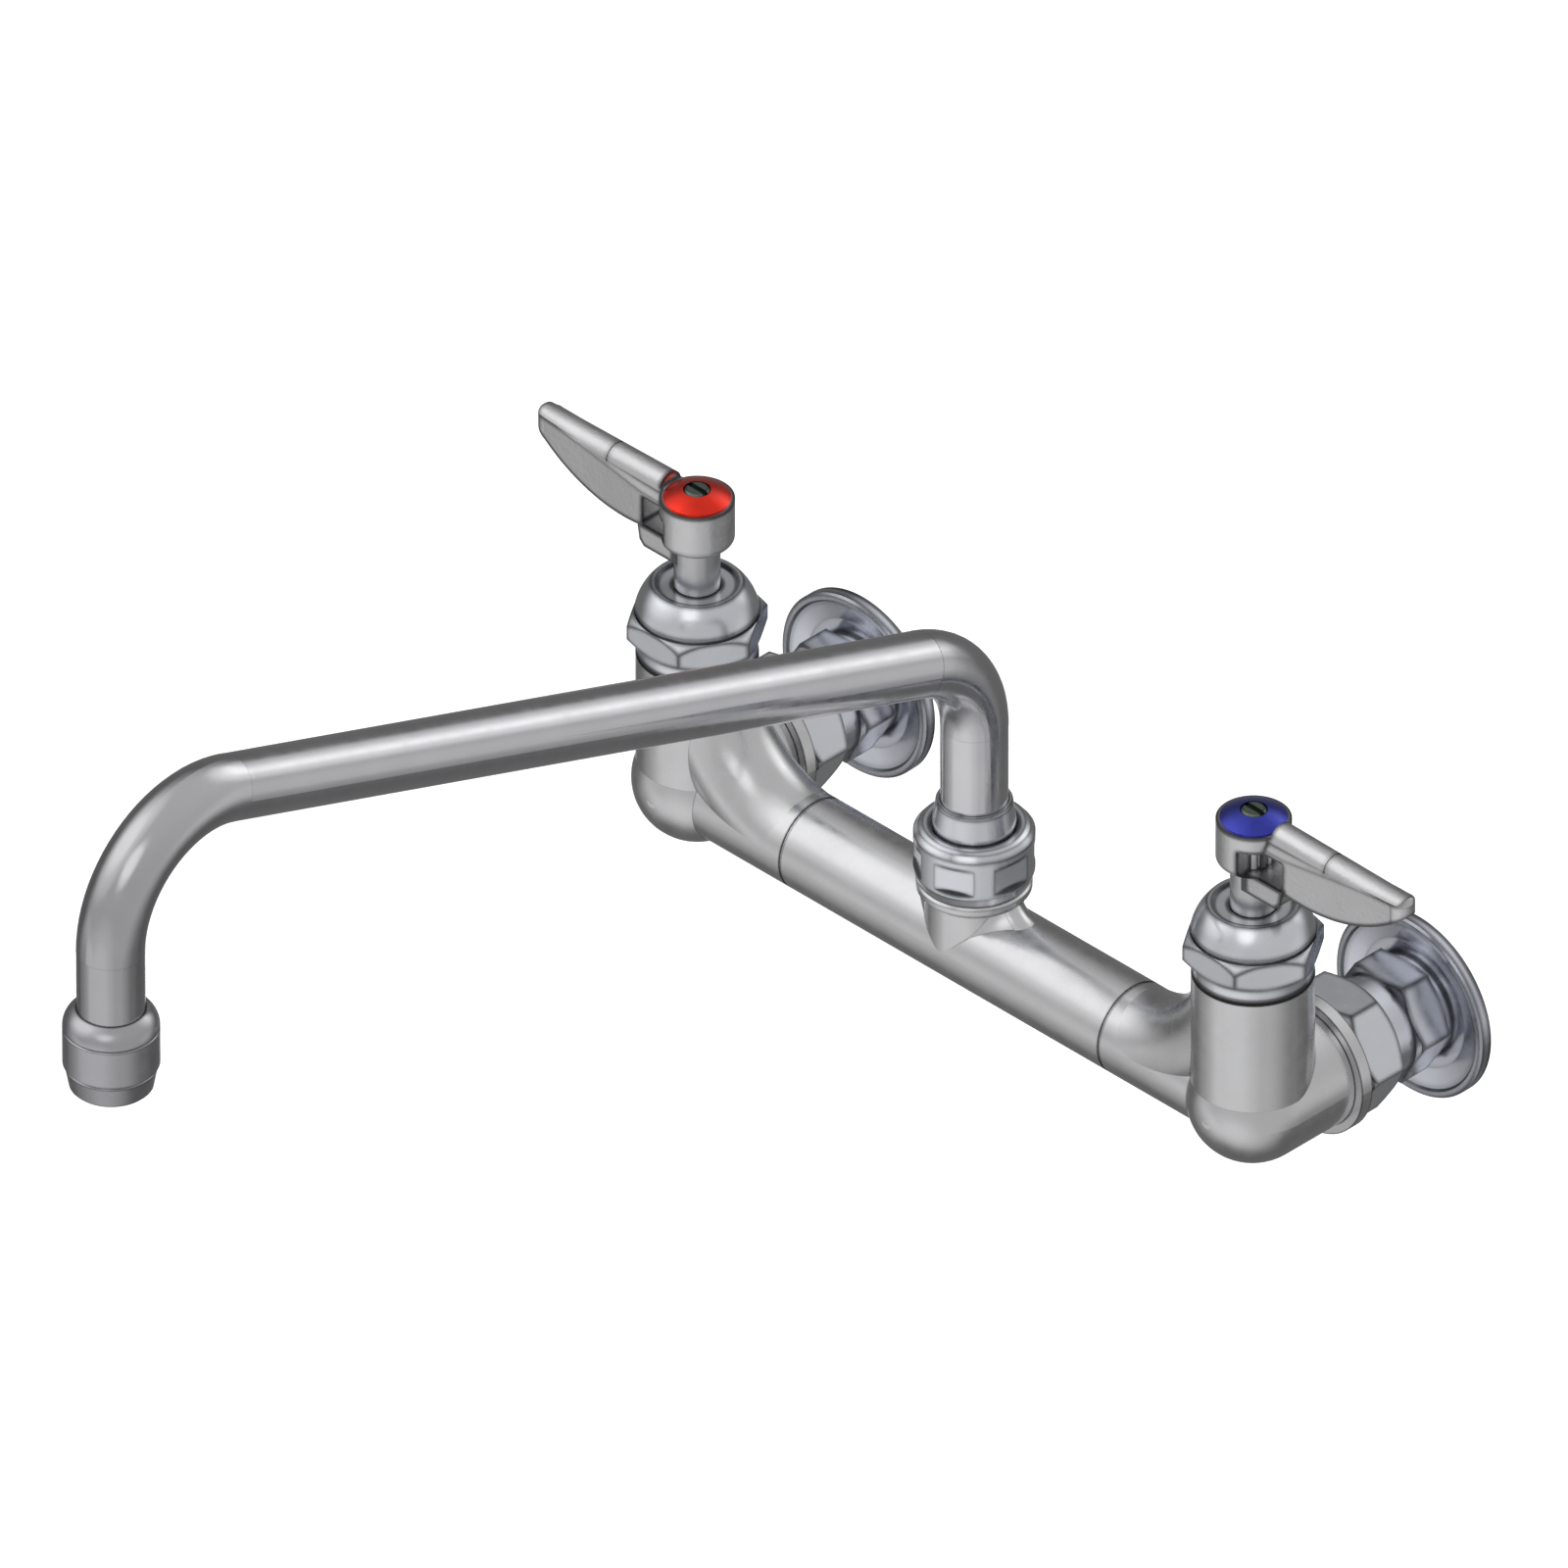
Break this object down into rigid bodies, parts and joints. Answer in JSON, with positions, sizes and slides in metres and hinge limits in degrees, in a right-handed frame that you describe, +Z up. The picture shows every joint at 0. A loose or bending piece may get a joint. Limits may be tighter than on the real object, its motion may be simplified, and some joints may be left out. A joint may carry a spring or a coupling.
{
  "type": "commercial wall faucet",
  "caption": "Wall-mounted commercial faucet: bar-shaped cast body, lever-handled hot and cold valves, long rising swing spout with aerator, and flanged supply couplings.",
  "frame": {"origin": "on the wall plane, midway between the axes of the supply inlets", "axes": "+X towards the cold side, -Y out of the wall towards the user, +Z up; levers shut and spout straight ahead at rest"},
  "size_m": [0.3172, 0.3867, 0.2197],
  "materials": {
    "body_chrome": "polished chrome plate on a smooth cast brass body",
    "fitting_chrome": "polished chrome plate",
    "flange_chrome": "polished chrome plate with a slightly blue cast",
    "handle_chrome": "polished chrome plate with light casting texture",
    "spout_chrome": "polished chrome plate on bent tube",
    "stem_metal": "turned steel",
    "screw_metal": "dark green-grey steel",
    "brass": "machined brass",
    "fibre": "pressed fibre",
    "rubber": "black rubber",
    "ceramic": "lapped white ceramic",
    "polymer": "moulded polymer",
    "index_red": "glossy red enamel",
    "index_blue": "glossy blue enamel"
  },
  "bodies": {
    "body": {"body_casting": "body_chrome", "hot_inlet_flange": "flange_chrome", "hot_coupling_nut": "fitting_chrome", "hot_coupling_washer": "fibre", "hot_coupling_spud": "brass", "hot_seat_gasket": "rubber", "hot_fixed_disc": "ceramic", "hot_cartridge_housing": "brass", "hot_bonnet_gasket": "fibre", "hot_bonnet": "fitting_chrome", "cold_inlet_flange": "flange_chrome", "cold_coupling_nut": "fitting_chrome", "cold_coupling_washer": "fibre", "cold_coupling_spud": "brass", "cold_seat_gasket": "rubber", "cold_fixed_disc": "ceramic", "cold_cartridge_housing": "brass", "cold_bonnet_gasket": "fibre", "cold_bonnet": "fitting_chrome", "swivel_nut": "fitting_chrome", "swivel_washer": "polymer"},
    "hot_handle": {"hot_moving_disc": "ceramic", "hot_stem": "stem_metal", "hot_stem_o_rings": "rubber", "hot_lever_handle": "handle_chrome", "hot_index_ring": "index_red", "hot_handle_screw": "screw_metal"},
    "cold_handle": {"cold_moving_disc": "ceramic", "cold_stem": "stem_metal", "cold_stem_o_rings": "rubber", "cold_lever_handle": "handle_chrome", "cold_index_ring": "index_blue", "cold_handle_screw": "screw_metal"},
    "spout": {"swivel_sleeve": "fitting_chrome", "swivel_o_rings": "rubber", "spout_tube": "spout_chrome", "outlet_adapter": "fitting_chrome", "aerator_housing": "fitting_chrome", "aerator_washer": "rubber", "aerator_screens": "stem_metal", "aerator_insert": "polymer", "aerator_cap": "fitting_chrome"}
  },
  "joints": [
    {"name": "hot_handle_turn", "type": "hinge", "parent": "body", "child": "hot_handle", "pos_m": [-0.1016, -0.061, 0.08], "axis": [0, 0, 1], "range_deg": [0, 90]},
    {"name": "cold_handle_turn", "type": "hinge", "parent": "body", "child": "cold_handle", "pos_m": [0.1016, -0.061, 0.08], "axis": [0, 0, -1], "range_deg": [0, 90]},
    {"name": "spout_swing", "type": "hinge", "parent": "body", "child": "spout", "pos_m": [0, -0.061, 0.03], "axis": [0, 0, 1], "range_deg": [-95, 95]}
  ]
}
